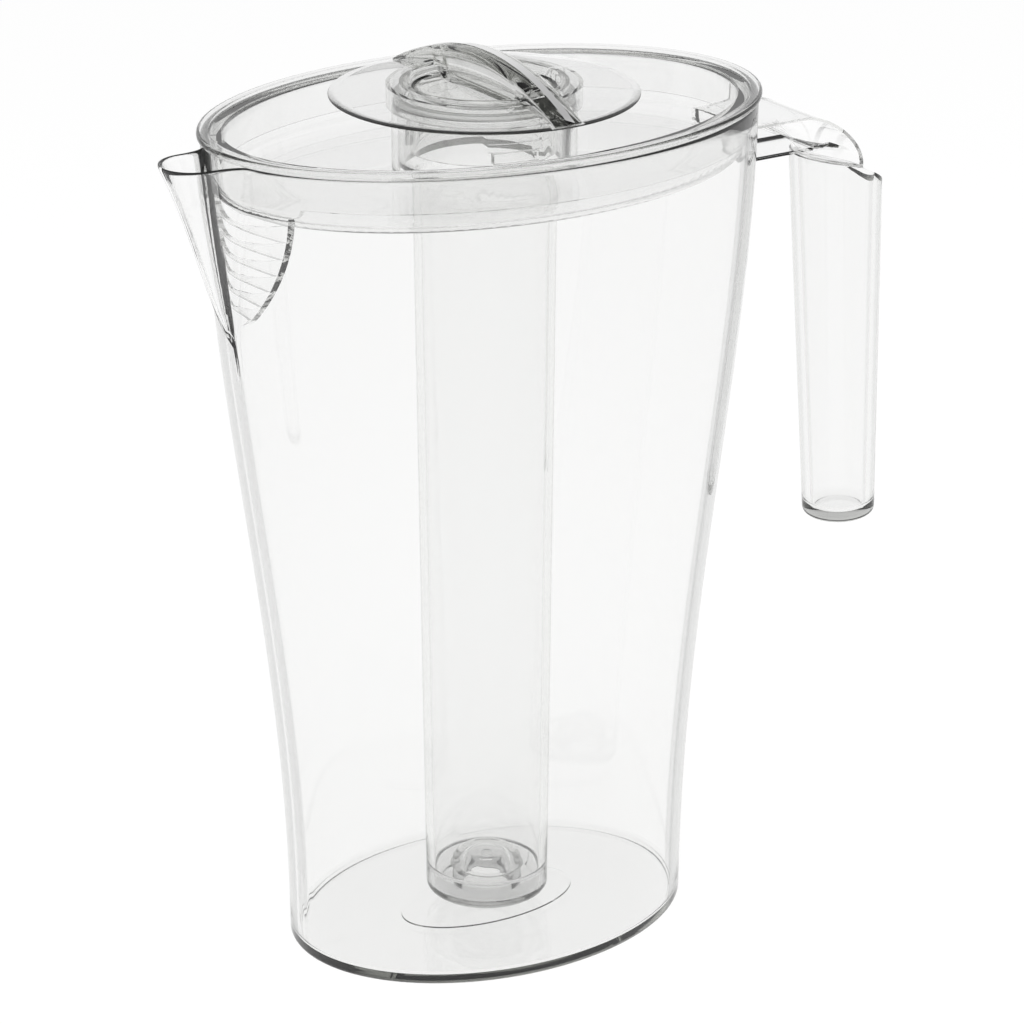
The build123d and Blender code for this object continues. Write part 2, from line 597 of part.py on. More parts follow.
with BuildPart() as bend_shell:
    with BuildSketch(grip_plane):
        with BuildLine():
            Line((ARM_HALF_WIDTH, arm_end_level), (ARM_HALF_WIDTH, bend_start))
            RadiusArc((ARM_HALF_WIDTH, bend_start), (trumpet_radius, bend_level), ARM_BEND_RADIUS)
            Line((trumpet_radius, bend_level), (trumpet_radius, bend_level + ARM_SIDE))
            RadiusArc((trumpet_radius, bend_level + ARM_SIDE), (ARM_HALF_WIDTH - ARM_SIDE, bend_start),
                      -ARM_BEND_RADIUS - ARM_SIDE)
            Polyline((ARM_HALF_WIDTH - ARM_SIDE, bend_start), (ARM_HALF_WIDTH - ARM_SIDE, arm_end_level),
                     (ARM_HALF_WIDTH, arm_end_level))
        make_face()
    revolve(axis=Axis(grip_foot, grip_up))

with BuildPart() as arm_inside:
    with BuildSketch(Plane.XZ):
        add(arm_side_view(ARM_PLATE))
    extrude(amount=ARM_HALF_WIDTH - ARM_SIDE, both=True)
    add(bend_shell.part, mode=Mode.SUBTRACT)

with BuildPart() as arm_end:
    with BuildSketch(grip_plane):
        with BuildLine():
            Polyline((0, arm_end_level), (ARM_HALF_WIDTH, arm_end_level), (ARM_HALF_WIDTH, bend_start))
            RadiusArc((ARM_HALF_WIDTH, bend_start), (trumpet_radius, bend_level), ARM_BEND_RADIUS)
            Polyline((trumpet_radius, bend_level), (trumpet_radius, bend_level + ARM_SIDE),
                     (0, bend_level + ARM_SIDE), (0, arm_end_level))
        make_face()
    revolve(axis=Axis(grip_foot, grip_up))
    with BuildSketch(Plane.XZ):
        add(rim_cutter(GRIP_GAP))
    extrude(amount=2 * ARM_HALF_WIDTH, both=True, mode=Mode.INTERSECT)

with BuildPart() as handle_arm:
    with BuildSketch(Plane.XZ):
        with Locations((ARM_REACH / 2, ARM_TOP - ARM_HEIGHT / 2)):
            Rectangle(ARM_REACH, ARM_HEIGHT)
    extrude(amount=ARM_HALF_WIDTH, both=True)
    add(arm_end.part)
    with BuildSketch(Plane.XZ):
        add(arm_side_view(0))
    extrude(amount=ARM_HALF_WIDTH, both=True, mode=Mode.INTERSECT)
    add(arm_inside.part, mode=Mode.SUBTRACT)
    for side in (1, -1):
        bead_y = side * (ARM_HALF_WIDTH - ARM_BEAD_RADIUS + ARM_BEAD_PROUD)
        bead_z = arm_underside + ARM_BEAD_RADIUS / 2
        bead_end = ARM_REACH - trumpet_radius
        with Locations(Plane((bead_end / 2, bead_y, bead_z), z_dir=(1, 0, 0))):
            Cylinder(ARM_BEAD_RADIUS, bead_end)
        with Locations(Plane((bead_end, bead_y, bead_z), z_dir=(1, 0, 0))):
            Sphere(ARM_BEAD_RADIUS)
    add(vessel_outside.part, mode=Mode.SUBTRACT)

for name, piece in (
    ("vessel", vessel),
    ("handle_arm", handle_arm),
    ("grip_tube", grip_tube),
    ("lid", lid),
    ("core_tube", core_tube),
    ("core_cap", core_cap),
    ("cap_seal", cap_seal),
):
    piece.part.label = name
    export_step(piece.part, f"parts/{name}.step")
    print(name, len(piece.part.solids()), round(piece.part.volume), piece.part.is_valid)
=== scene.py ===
# %% [markdown]
# # A clear water jug with an ice core
#
# The jug is a set of thin, glossy mouldings in clear plastic, one inside the other: the oval jug with its
# handle, a dished lid, and a long tube for ice with a round cap. What the eye reads on such a thing is not
# its colour but its edges, where light is bent away from the white background towards something darker.
# So most of the work lies in clean surfaces, true wall thicknesses and the surroundings that they mirror.
#
# First the frame is loaded. It holds each piece of the construction at its place, in metres.

# %% Load the frame
import math

import bmesh
import bpy
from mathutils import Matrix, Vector


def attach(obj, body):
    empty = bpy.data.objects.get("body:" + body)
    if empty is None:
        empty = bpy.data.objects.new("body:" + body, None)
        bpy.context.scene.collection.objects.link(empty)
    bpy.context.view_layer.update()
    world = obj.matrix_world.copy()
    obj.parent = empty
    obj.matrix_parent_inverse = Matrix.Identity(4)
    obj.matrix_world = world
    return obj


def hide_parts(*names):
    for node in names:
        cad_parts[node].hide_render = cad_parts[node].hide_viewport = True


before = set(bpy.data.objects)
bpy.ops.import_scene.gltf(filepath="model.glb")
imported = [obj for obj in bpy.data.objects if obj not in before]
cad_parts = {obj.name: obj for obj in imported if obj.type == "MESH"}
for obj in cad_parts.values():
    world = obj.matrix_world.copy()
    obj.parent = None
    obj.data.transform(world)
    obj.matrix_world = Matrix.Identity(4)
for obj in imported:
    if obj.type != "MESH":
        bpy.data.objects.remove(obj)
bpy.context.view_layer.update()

# %% [markdown]
# ## Camera
#
# A product picture like this one is taken from well back with a long lens, which keeps the jug's sides
# nearly parallel. The camera stands about 33 degrees to the spout's side of the jug's broad face and looks
# down on it by about 22 degrees. It aims a little to the handle's side of the core, half way up.

# %% Camera
CAMERA_AZIMUTH = math.radians(-32.5755)
CAMERA_ELEVATION = math.radians(21.5851)
CAMERA_DISTANCE = 1.1552
CAMERA_LENS = 135
AIM_HEIGHT = 0.1315
AIM_TO_HANDLE = 0.00797

camera_right = Vector((math.cos(CAMERA_AZIMUTH), math.sin(CAMERA_AZIMUTH), 0))
level_forward = Vector((-math.sin(CAMERA_AZIMUTH), math.cos(CAMERA_AZIMUTH), 0))
camera_forward = level_forward * math.cos(CAMERA_ELEVATION) - Vector((0, 0, math.sin(CAMERA_ELEVATION)))
aim = camera_right * AIM_TO_HANDLE + Vector((0, 0, AIM_HEIGHT))

camera = bpy.data.objects.new("camera", bpy.data.cameras.new("camera"))
bpy.context.scene.collection.objects.link(camera)
camera.data.lens = CAMERA_LENS
camera.data.sensor_width = 36
camera.location = aim - camera_forward * CAMERA_DISTANCE
camera.rotation_euler = camera_forward.to_track_quat("-Z", "Y").to_euler()
camera.data.clip_end = 50
bpy.context.scene.camera = camera
print("camera at", [round(v, 4) for v in camera.location])

# %% [markdown]
# ## Small helpers
#
# Every material starts from an empty node tree. Two short helpers add a node with its settings and join
# two sockets, so that the cells below read as a list of what each node does.

# %% Node helpers
def add_node(tree, kind, **settings):
    """Adds a node and sets its properties and, by name, its inputs."""
    node = tree.nodes.new(kind)
    for name, value in settings.items():
        if hasattr(node, name):
            setattr(node, name, value)
        else:
            node.inputs[name.replace("_", " ")].default_value = value
    return node


def empty_material(name):
    """A new material with nothing in its node tree."""
    material = bpy.data.materials.new(name)
    material.use_nodes = True
    material.node_tree.nodes.clear()
    return material

# %% [markdown]
# ## Surroundings
#
# Clear plastic shows only what is around it. Photographers light it with a bright background and keep the
# room at the sides and above darker: light that goes straight through stays white, and light that is bent
# or mirrored at an edge picks up the dark and draws a line there. The world is therefore white at and below
# the horizon and falls to grey overhead, while the camera itself always sees plain white behind the jug.

# %% World
HORIZON_LEVEL = 1.0
ZENITH_LEVEL = 0.52

world = bpy.data.worlds.new("studio")
bpy.context.scene.world = world
world.use_nodes = True
tree = world.node_tree
tree.nodes.clear()
direction = add_node(tree, "ShaderNodeTexCoord")
split = add_node(tree, "ShaderNodeSeparateXYZ")
height = add_node(tree, "ShaderNodeMapRange", interpolation_type="SMOOTHSTEP")
height.inputs["From Min"].default_value = 0.15
height.inputs["From Max"].default_value = 0.9
height.inputs["To Min"].default_value = HORIZON_LEVEL
height.inputs["To Max"].default_value = ZENITH_LEVEL
path = add_node(tree, "ShaderNodeLightPath")
level = add_node(tree, "ShaderNodeMix", data_type="FLOAT")
level.inputs[3].default_value = 1.0
background = add_node(tree, "ShaderNodeBackground")
output = add_node(tree, "ShaderNodeOutputWorld")
tree.links.new(direction.outputs["Generated"], split.inputs["Vector"])
tree.links.new(split.outputs["Z"], height.inputs["Value"])
tree.links.new(path.outputs["Is Camera Ray"], level.inputs[0])
tree.links.new(height.outputs["Result"], level.inputs[2])
tree.links.new(level.outputs[0], background.inputs["Strength"])
tree.links.new(background.outputs["Background"], output.inputs["Surface"])
print("world from", HORIZON_LEVEL, "at the horizon to", ZENITH_LEVEL, "overhead")

# %% Floor
FLOOR_SIZE = 12
FLOOR_GLOW = 0.86
FLOOR_GLOW_LEVEL = 1.035
AIR_UNDER_FOOT = 0.0003

bpy.ops.object.select_all(action="DESELECT")
bpy.ops.mesh.primitive_plane_add(size=FLOOR_SIZE, location=(0, 0, -AIR_UNDER_FOOT))
floor = bpy.context.object
floor.name = "floor"
white = empty_material("white_floor")
tree = white.node_tree
paint = add_node(tree, "ShaderNodeBsdfDiffuse", Color=(0.9, 0.9, 0.9, 1))
glow = add_node(tree, "ShaderNodeEmission", Strength=FLOOR_GLOW_LEVEL)
blend = add_node(tree, "ShaderNodeMixShader", Fac=FLOOR_GLOW)
output = add_node(tree, "ShaderNodeOutputMaterial")
tree.links.new(paint.outputs[0], blend.inputs[1])
tree.links.new(glow.outputs[0], blend.inputs[2])
tree.links.new(blend.outputs[0], output.inputs["Surface"])
floor.data.materials.append(white)
print("floor", FLOOR_SIZE, "m wide")

# %% Lamps
def softbox(name, place, size, watts):
    """A square soft lamp that faces the middle of the jug."""
    lamp = bpy.data.objects.new(name, bpy.data.lights.new(name, "AREA"))
    bpy.context.scene.collection.objects.link(lamp)
    lamp.data.size = size
    lamp.data.energy = watts
    lamp.visible_glossy = False
    lamp.visible_transmission = False
    lamp.location = place
    lamp.rotation_euler = (Vector((0, 0, 0.15)) - Vector(place)).to_track_quat("-Z", "Y").to_euler()
    return lamp


softbox("lamp_over", (-0.3, -0.5, 1.6), 0.9, 14)
softbox("lamp_left", (-1.3, -0.3, 0.9), 0.6, 8)
softbox("lamp_right", (1.1, -0.9, 0.7), 0.5, 6)

# %% [markdown]
# ## Clear plastic
#
# Two effects are shared by all the plastics, so each is a node group. The first takes how far a surface turns
# away from the eye and greys it there, only on upright walls: painted shade in the colour for the soft grey
# band which a thick clear wall shows along its outline, where light bent at the edge meets darker
# surroundings. The second is the surface that a mould leaves, almost flat with a long faint ripple, and a
# little duller in patches where it has been wiped and handled.

# %% Node groups
def new_group(name, inputs, outputs):
    """A node group with named sockets, given as name, kind and starting value."""
    group = bpy.data.node_groups.new(name, "ShaderNodeTree")
    for socket_name, kind, value in inputs:
        socket = group.interface.new_socket(socket_name, in_out="INPUT", socket_type=kind)
        socket.default_value = value
    for socket_name, kind in outputs:
        group.interface.new_socket(socket_name, in_out="OUTPUT", socket_type=kind)
    return group, group.nodes.new("NodeGroupInput"), group.nodes.new("NodeGroupOutput")


# %% Painted shade: a grey band along upright edges
painted_edge_shade_group, entry, leave = new_group(
    "painted_edge_shade",
    [("Turned Away", "NodeSocketFloat", 0), ("Starts", "NodeSocketFloat", 0.69),
     ("Full", "NodeSocketFloat", 0.72), ("Grey", "NodeSocketFloat", 0.55)],
    [("Color", "NodeSocketColor")],
)
# Painted shade: the colour turns grey where an upright wall turns away from the eye, in place of light bent
# towards darker surroundings at the outline.
edge = add_node(painted_edge_shade_group, "ShaderNodeMapRange", interpolation_type="SMOOTHSTEP")
shape = add_node(painted_edge_shade_group, "ShaderNodeNewGeometry")
parts = add_node(painted_edge_shade_group, "ShaderNodeSeparateXYZ")
steep = add_node(painted_edge_shade_group, "ShaderNodeMath", operation="ABSOLUTE")
upright = add_node(painted_edge_shade_group, "ShaderNodeMapRange", interpolation_type="SMOOTHSTEP")
upright.inputs["From Min"].default_value = 0.55
upright.inputs["From Max"].default_value = 0.8
upright.inputs["To Min"].default_value = 1
upright.inputs["To Max"].default_value = 0
amount = add_node(painted_edge_shade_group, "ShaderNodeMath", operation="MULTIPLY")
tint = add_node(painted_edge_shade_group, "ShaderNodeMapRange")
colour = add_node(painted_edge_shade_group, "ShaderNodeCombineColor")
painted_edge_shade_group.links.new(entry.outputs["Turned Away"], edge.inputs["Value"])
painted_edge_shade_group.links.new(entry.outputs["Starts"], edge.inputs["From Min"])
painted_edge_shade_group.links.new(entry.outputs["Full"], edge.inputs["From Max"])
painted_edge_shade_group.links.new(shape.outputs["Normal"], parts.inputs["Vector"])
painted_edge_shade_group.links.new(parts.outputs["Z"], steep.inputs[0])
painted_edge_shade_group.links.new(steep.outputs[0], upright.inputs["Value"])
painted_edge_shade_group.links.new(edge.outputs["Result"], amount.inputs[0])
painted_edge_shade_group.links.new(upright.outputs["Result"], amount.inputs[1])
painted_edge_shade_group.links.new(amount.outputs[0], tint.inputs["Value"])
tint.inputs["To Min"].default_value = 1
painted_edge_shade_group.links.new(entry.outputs["Grey"], tint.inputs["To Max"])
for channel in ("Red", "Green", "Blue"):
    painted_edge_shade_group.links.new(tint.outputs["Result"], colour.inputs[channel])
painted_edge_shade_group.links.new(colour.outputs[0], leave.inputs["Color"])

# %% Effect: the surface that a mould leaves
mould_group, entry, leave = new_group(
    "moulded_surface",
    [("Ripple Size", "NodeSocketFloat", 14), ("Ripple", "NodeSocketFloat", 0.02),
     ("Smooth", "NodeSocketFloat", 0), ("Dull", "NodeSocketFloat", 0.03)],
    [("Roughness", "NodeSocketFloat"), ("Normal", "NodeSocketVector")],
)
place = add_node(mould_group, "ShaderNodeTexCoord")
swell = add_node(mould_group, "ShaderNodeTexNoise", Detail=0.5)
lift = add_node(mould_group, "ShaderNodeBump", Distance=0.001)
patches = add_node(mould_group, "ShaderNodeTexNoise", Scale=22.0, Detail=3.0)
worn = add_node(mould_group, "ShaderNodeMapRange", interpolation_type="SMOOTHSTEP")
worn.inputs["From Min"].default_value = 0.45
worn.inputs["From Max"].default_value = 0.75
mould_group.links.new(place.outputs["Object"], swell.inputs["Vector"])
mould_group.links.new(entry.outputs["Ripple Size"], swell.inputs["Scale"])
mould_group.links.new(swell.outputs[0], lift.inputs["Height"])
mould_group.links.new(entry.outputs["Ripple"], lift.inputs["Strength"])
mould_group.links.new(lift.outputs["Normal"], leave.inputs["Normal"])
mould_group.links.new(place.outputs["Object"], patches.inputs["Vector"])
mould_group.links.new(patches.outputs[0], worn.inputs["Value"])
mould_group.links.new(entry.outputs["Smooth"], worn.inputs["To Min"])
mould_group.links.new(entry.outputs["Dull"], worn.inputs["To Max"])
mould_group.links.new(worn.outputs["Result"], leave.inputs["Roughness"])
print("groups", [g.name for g in bpy.data.node_groups])

# %% [markdown]
# One function makes every plastic. Its settings are how strongly it bends light, how fast it greys with
# depth, where its painted edge shade starts and is full and how grey that is, how strong the mould's ripple
# is and how dull its worn patches are. Lamps shine through it, so that the jug's shadow stays pale.

# %% Clear plastic
def clear_plastic(name, ior, density, edge_starts, edge_full, painted_edge_grey, ripple, dull, smooth=0.0):
    """Clear moulded plastic that bends light, greys it a little with depth, has painted shade along its
    upright edges and lets lamps through.
    """
    material = empty_material(name)
    tree = material.node_tree
    plastic = add_node(tree, "ShaderNodeBsdfPrincipled")
    plastic.inputs["Metallic"].default_value = 0
    plastic.inputs["Transmission Weight"].default_value = 1
    plastic.inputs["IOR"].default_value = ior
    facing = add_node(tree, "ShaderNodeLayerWeight", Blend=0.5)
    painted_edge_node = add_node(tree, "ShaderNodeGroup", node_tree=painted_edge_shade_group)
    painted_edge_node.inputs["Starts"].default_value = edge_starts
    painted_edge_node.inputs["Full"].default_value = edge_full
    painted_edge_node.inputs["Grey"].default_value = painted_edge_grey
    mould = add_node(tree, "ShaderNodeGroup", node_tree=mould_group)
    mould.inputs["Ripple"].default_value = ripple
    mould.inputs["Smooth"].default_value = smooth
    mould.inputs["Dull"].default_value = dull
    path = add_node(tree, "ShaderNodeLightPath")
    passes = add_node(tree, "ShaderNodeMath", operation="ADD", use_clamp=True)
    through = add_node(tree, "ShaderNodeBsdfTransparent", Color=(0.93, 0.93, 0.92, 1))
    blend = add_node(tree, "ShaderNodeMixShader")
    absorb = add_node(tree, "ShaderNodeVolumeAbsorption", Color=(0.3, 0.31, 0.27, 1), Density=density)
    output = add_node(tree, "ShaderNodeOutputMaterial")
    # Painted shade: the grey edge band is put into the plastic's colour.
    tree.links.new(facing.outputs["Facing"], painted_edge_node.inputs["Turned Away"])
    tree.links.new(painted_edge_node.outputs["Color"], plastic.inputs["Base Color"])
    tree.links.new(mould.outputs["Roughness"], plastic.inputs["Roughness"])
    tree.links.new(mould.outputs["Normal"], plastic.inputs["Normal"])
    tree.links.new(path.outputs["Is Shadow Ray"], passes.inputs[0])
    tree.links.new(path.outputs["Is Diffuse Ray"], passes.inputs[1])
    tree.links.new(passes.outputs[0], blend.inputs[0])
    tree.links.new(plastic.outputs[0], blend.inputs[1])
    tree.links.new(through.outputs[0], blend.inputs[2])
    tree.links.new(blend.outputs[0], output.inputs["Surface"])
    tree.links.new(absorb.outputs[0], output.inputs["Volume"])
    return material


# %% A plastic for each piece
plastics = {
    "vessel": clear_plastic("jug_plastic", 1.57, 21, 0.69, 0.72, 0.55, 0.012, 0.02),
    "handle_arm": clear_plastic("arm_plastic", 1.33, 10, 0.8, 0.95, 0.95, 0.01, 0.02),
    "grip_tube": clear_plastic("grip_plastic", 1.45, 22, 0.5, 0.62, 0.8, 0.012, 0.03),
    "lid": clear_plastic("lid_plastic", 1.5, 24, 0.75, 0.9, 0.6, 0.012, 0.02),
    "core_tube": clear_plastic("tube_plastic", 1.57, 22, 0.8, 0.9, 0.5, 0.012, 0.02),
    "core_cap": clear_plastic("cap_plastic", 1.4, 45, 0.85, 0.95, 0.9, 0.01, 0.02),
    "cap_seal": clear_plastic("seal_silicone", 1.41, 60, 0.8, 0.95, 0.7, 0.05, 0.34, smooth=0.22),
}
for name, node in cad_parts.items():
    node.data.materials.clear()
    node.data.materials.append(plastics[name])
print("plastics", sorted(plastics))

# %% [markdown]
# The tube's thick base looks greyer than its wall, because light is bent many times in it. That shade is
# painted: a mask by height greys the tube's colour a little below the line where its clear wall begins.

# %% Painted shade on the ice tube's foot
FOOT_LINE = 0.0152
FOOT_PAINTED_SHADE = 0.82

tree = plastics["core_tube"].node_tree
plastic = next(n for n in tree.nodes if n.type == "BSDF_PRINCIPLED")
edge_colour = plastic.inputs["Base Color"].links[0].from_socket
place = add_node(tree, "ShaderNodeTexCoord")
parts = add_node(tree, "ShaderNodeSeparateXYZ")
below = add_node(tree, "ShaderNodeMapRange", interpolation_type="SMOOTHSTEP")
below.inputs["From Min"].default_value = FOOT_LINE - 0.0002
below.inputs["From Max"].default_value = FOOT_LINE
below.inputs["To Min"].default_value = FOOT_PAINTED_SHADE
below.inputs["To Max"].default_value = 1
# Painted shade: the tube's colour is scaled down below the foot line.
painted_foot_shade = add_node(tree, "ShaderNodeVectorMath", operation="SCALE")
tree.links.new(place.outputs["Object"], parts.inputs["Vector"])
tree.links.new(parts.outputs["Z"], below.inputs["Value"])
tree.links.new(edge_colour, painted_foot_shade.inputs[0])
tree.links.new(below.outputs["Result"], painted_foot_shade.inputs["Scale"])
tree.links.new(painted_foot_shade.outputs[0], plastic.inputs["Base Color"])
print("foot greyed below", FOOT_LINE)

# %% [markdown]
# ## The jug's wall
#
# The jug is one moulding: an oval that stands up from the base, flares towards the rim and draws out into a
# spout. A potter would think of it as rings of clay laid one on another, and it is modelled like that: a ring
# of points is placed at each height, extruded to the next height and shaped to the outline there. The rings
# go up the outside, over the rounded rim and down the inside to the floor, so the wall has its thickness
# from the start. Each ring has as many points as the last, and as many of them in the spout, which lets the
# spout grow out of the oval with no seam.

# %% Sizes of the jug's wall, in metres
HEIGHT = 0.2556
BASE_HALF = (0.0648, 0.049)
RIM_HALF = (0.0872, 0.0613)
FLARE_LATENESS = 1.1
WALL = 0.0026
FLOOR = 0.0024
BASE_EDGE = 0.0016
FLOOR_CORNER = 0.0016
PAD_HALF = (0.0295, 0.016)
PAD_RISE = 0.0004
SPOUT_HEIGHT = 0.059
SPOUT_BELLY = 0.0134
SPOUT_FLARE = 0.006
SPOUT_SUNK_FOOT = 0.0012
SPOUT_NOSE = 0.0103
SPOUT_ROOT = 0.0165
ROOT_BEND = 0.8
THIN_SPOUT = 0.5
OVAL_POINTS = 132
SIDE_POINTS = 16
NOSE_POINTS = 20
CORNER_STEPS = 6
RISES = 46
RIM_STEPS = 8
FLOOR_STEPS = 10
print("wall", WALL, "m thick and", HEIGHT, "m high")

# %% [markdown]
# The outline at a height is an oval with the spout drawn onto it. Half of it is worked out and mirrored:
# first the round nose of the spout, then its side as a curve that leaves the nose straight and meets the oval
# along its own direction, and then the oval. Near its foot the spout fades into the oval.

# %% The jug's outline at a height
def oval_half(z, inset):
    """Half length and half width of the oval at a height, less an inset."""
    share = min(max(z / HEIGHT, 0), 1) ** FLARE_LATENESS
    flare = 3 * share**2 - 2 * share**3
    return [low + (high - low) * flare - inset for low, high in zip(BASE_HALF, RIM_HALF)]


def bezier(a, b, c, d, t):
    """A point on a cubic curve between a and d."""
    return tuple(
        a[i] * (1 - t) ** 3 + 3 * b[i] * t * (1 - t) ** 2 + 3 * c[i] * t**2 * (1 - t) + d[i] * t**3
        for i in (0, 1)
    )


def ring(z, inset):
    """The outline of the jug at a height, as points that start and end at the spout's tip."""
    share = (z - HEIGHT + SPOUT_HEIGHT) / SPOUT_HEIGHT
    grown = min(max(share / 0.12, 0), 1)
    grown = grown * grown * (3 - 2 * grown)
    share = max(share, 0.02)
    half_x, half_y = oval_half(z, inset)
    thin = THIN_SPOUT * inset
    drawn_out = SPOUT_BELLY * share**0.6 + SPOUT_FLARE * share**3.5 - SPOUT_SUNK_FOOT
    reach = max(drawn_out, 0) + (inset - thin) * grown
    nose = max(SPOUT_NOSE * share - thin, 0.0003)
    root_y = max(SPOUT_ROOT * share - thin, 0.0008)
    root_x = -half_x * math.sqrt(1 - (root_y / half_y) ** 2)
    tip_x = -half_x - reach
    side_x = min(tip_x + nose, root_x - 0.0001)
    slope = half_x * root_y / (half_y**2 * math.sqrt(1 - (root_y / half_y) ** 2))
    bend = ROOT_BEND * (root_y - nose)
    run = max(0.5 * (root_x - side_x), 0.0002)
    turn = math.asin(root_y / half_y)
    drawn = []
    for i in range(NOSE_POINTS // 2):
        angle = math.pi / 2 * i / (NOSE_POINTS // 2)
        drawn.append((side_x - (side_x - tip_x) * math.cos(angle), nose * math.sin(angle)))
    for i in range(SIDE_POINTS):
        drawn.append(bezier((side_x, nose), (side_x + run, nose), (root_x - slope * bend, root_y - bend),
                            (root_x, root_y), i / SIDE_POINTS))
    plain = [turn * i / len(drawn) for i in range(len(drawn))]
    half_ring = [
        (x + (-half_x * math.cos(a) - x) * (1 - grown), y + (half_y * math.sin(a) - y) * (1 - grown))
        for (x, y), a in zip(drawn, plain)
    ]
    for i in range(OVAL_POINTS // 2):
        a = turn + (math.pi - turn) * i / (OVAL_POINTS // 2)
        half_ring.append((-half_x * math.cos(a), half_y * math.sin(a)))
    half_ring.append((half_x, 0))
    other = [(x, -y) for x, y in reversed(half_ring[1:-1])]
    return [Vector((x, y, z)) for x, y in half_ring + other]


# %% [markdown]
# The rings' heights and insets follow the section of the wall: round the base's edge, up the outside, over
# the rim in a half circle, down the inside and round the corner onto the floor.

# %% Ring heights
def stations():
    """Heights and insets of the rings, from the base's middle up the outside and down the inside."""
    steps = []
    for i in range(CORNER_STEPS + 1):
        angle = math.pi / 2 * i / CORNER_STEPS
        steps.append((BASE_EDGE * (1 - math.cos(angle)), BASE_EDGE * (1 - math.sin(angle))))
    top = HEIGHT - WALL / 2
    steps += [(BASE_EDGE + (top - BASE_EDGE) * i / RISES, 0) for i in range(1, RISES + 1)]
    for i in range(1, RIM_STEPS + 1):
        angle = math.pi * i / RIM_STEPS
        steps.append((top + WALL / 2 * math.sin(angle), WALL / 2 * (1 - math.cos(angle))))
    low = FLOOR + FLOOR_CORNER
    steps += [(top + (low - top) * i / RISES, WALL) for i in range(1, RISES + 1)]
    for i in range(1, FLOOR_STEPS + 1):
        angle = math.pi / 2 * i / FLOOR_STEPS
        steps.append((low - FLOOR_CORNER * math.sin(angle), WALL + FLOOR_CORNER * (1 - math.cos(angle))))
    return steps


print("rings", len(stations()))

# %% [markdown]
# A body starts as a flat disc with as many corners as a ring has points. Its face is extruded once for each
# ring, and the new corners are placed on the ring. The first and the last face close the body.

# %% Closed bodies from rings
def start_from(add, name, **sizes):
    """Adds a primitive with nothing else selected and names it."""
    bpy.ops.object.select_all(action="DESELECT")
    add(**sizes)
    made = bpy.context.object
    made.name = made.data.name = name
    return made


def face_outwards(piece):
    """Makes a closed mesh's faces agree, and turns them all if they point inwards."""
    bpy.ops.object.select_all(action="DESELECT")
    piece.select_set(True)
    bpy.context.view_layer.objects.active = piece
    bpy.ops.object.mode_set(mode="EDIT")
    bpy.ops.mesh.select_all(action="SELECT")
    bpy.ops.mesh.normals_make_consistent(inside=False)
    if bmesh.from_edit_mesh(piece.data).calc_volume(signed=True) < 0:
        bpy.ops.mesh.flip_normals()
    bpy.ops.object.mode_set(mode="OBJECT")


def raise_rings(name, rings):
    """A closed body that is extruded from ring to ring, each with the same number of points."""
    piece = start_from(bpy.ops.mesh.primitive_circle_add, name, vertices=len(rings[0]), radius=0.06,
                       fill_type="NGON")
    for vertex, place in zip(piece.data.vertices, rings[0]):
        vertex.co = place
    bpy.ops.object.mode_set(mode="EDIT")
    bpy.ops.mesh.select_mode(type="FACE")
    bpy.ops.mesh.select_all(action="SELECT")
    for places in rings[1:]:
        bpy.ops.mesh.extrude_region_move()
        bpy.ops.object.mode_set(mode="OBJECT")
        chosen = [v for v in piece.data.vertices if v.select]
        for vertex, place in zip(chosen, places):
            vertex.co = place
        bpy.ops.object.mode_set(mode="EDIT")
    bpy.ops.object.mode_set(mode="OBJECT")
    face_outwards(piece)
    return piece

# %% [markdown]
# On the jug's floor stands a low oval pad. Two smaller rings after the last one of the wall make it.

# %% The jug's wall
def pad_ring(rise, inset):
    """A small oval on the jug's floor, with the same number of points as a ring of the wall."""
    half_x, half_y = oval_half(FLOOR, 0)
    across, along = (PAD_HALF[0] - inset) / half_x, (PAD_HALF[1] - inset) / half_y
    return [Vector((p.x * across, p.y * along, FLOOR + rise)) for p in ring(FLOOR, 0)]


rings = [ring(z, inset) for z, inset in stations()]
rings += [pad_ring(0, 0), pad_ring(PAD_RISE, PAD_RISE / 4)]
wall = raise_rings("jug", rings)
print("jug wall", len(wall.data.vertices), "points", len(wall.data.polygons), "faces")

# %% [markdown]
# ## The other pieces
#
# The tube keeps its shape from the construction. It starts as a copy whose loose triangles are merged into
# one skin. The arm and the cap are new bodies. Simple bodies are then added to a piece or cut out of it.

# %% Copies, turned bodies and cuts
def closed_copy(node_name, name):
    """A copy of a construction piece as one closed skin."""
    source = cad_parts[node_name]
    piece = bpy.data.objects.new(name, source.data.copy())
    piece.matrix_world = source.matrix_world
    bpy.context.scene.collection.objects.link(piece)
    bpy.ops.object.select_all(action="DESELECT")
    piece.select_set(True)
    bpy.context.view_layer.objects.active = piece
    bpy.ops.mesh.customdata_custom_splitnormals_clear()
    bpy.ops.object.mode_set(mode="EDIT")
    bpy.ops.mesh.select_all(action="SELECT")
    bpy.ops.mesh.remove_doubles(threshold=0.000001)
    bpy.ops.object.mode_set(mode="OBJECT")
    return piece


def turned(name, profile, points=96):
    """A body turned on the jug's upright axis, from radius and height in millimetres."""
    turns = [2 * math.pi * i / points for i in range(points)]
    return raise_rings(name, [
        [Vector((radius * math.cos(turn), radius * math.sin(turn), z)) / 1000 for turn in turns]
        for radius, z in profile
    ])


def combine(piece, tool, operation):
    """Adds the tool to the piece, cuts it out or keeps only what is in both. The tool is used up."""
    bpy.ops.object.select_all(action="DESELECT")
    piece.select_set(True)
    bpy.context.view_layer.objects.active = piece
    work = piece.modifiers.new("work", "BOOLEAN")
    work.operation = operation
    work.solver = "MANIFOLD"
    work.object = tool
    bpy.ops.object.modifier_apply(modifier="work")
    bpy.data.objects.remove(tool)


SMOOTH_ANGLE = math.radians(40)


